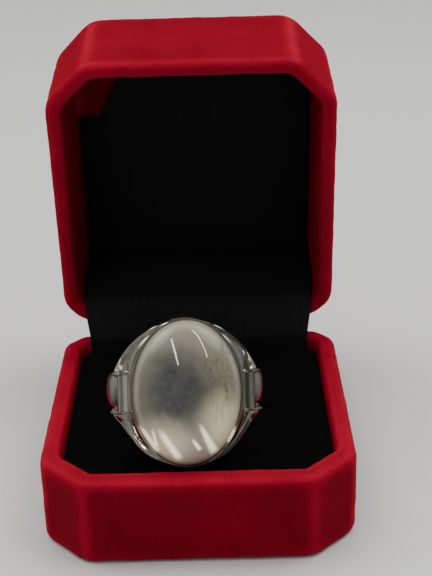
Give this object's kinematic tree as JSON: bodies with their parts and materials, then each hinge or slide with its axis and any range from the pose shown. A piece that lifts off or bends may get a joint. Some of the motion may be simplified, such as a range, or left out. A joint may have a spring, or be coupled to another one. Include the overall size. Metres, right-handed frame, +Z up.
{
  "type": "cabochon ring in a hinged ring box",
  "caption": "Silver ring with a large oval cabochon in a plain bezel with winged shoulders, lying in an open eight-sided velvet ring box with a hinged lid.",
  "frame": {"origin": "middle of the box's flat underside, on the surface that it stands on", "axes": "+Z up, +Y towards the hinge at the back, +X to the right seen from the front"},
  "size_m": [0.052, 0.0789, 0.0732],
  "materials": {
    "red_velvet": "short velvet pile",
    "black_pad": "velvet over foam",
    "black_lining": "matte cloth on card",
    "steel": "plain wire",
    "silver": "polished silver with dark recesses",
    "milky_stone": "polished, milky and translucent"
  },
  "bodies": {
    "base": {"base_shell": "red_velvet", "ring_pad": "black_pad", "ring_body": "silver", "cabochon": "milky_stone", "hinge_cloth": "black_lining", "hinge_pin": "steel"},
    "lid": {"lid_shell": "red_velvet", "lid_lining": "black_lining"}
  },
  "joints": [
    {"name": "lid_hinge", "type": "hinge", "parent": "base", "child": "lid", "pos_m": [0, 0.028, 0.0161], "axis": [1, 0, 0], "range_deg": [0, 82.3], "deforming": ["hinge_cloth"]}
  ]
}
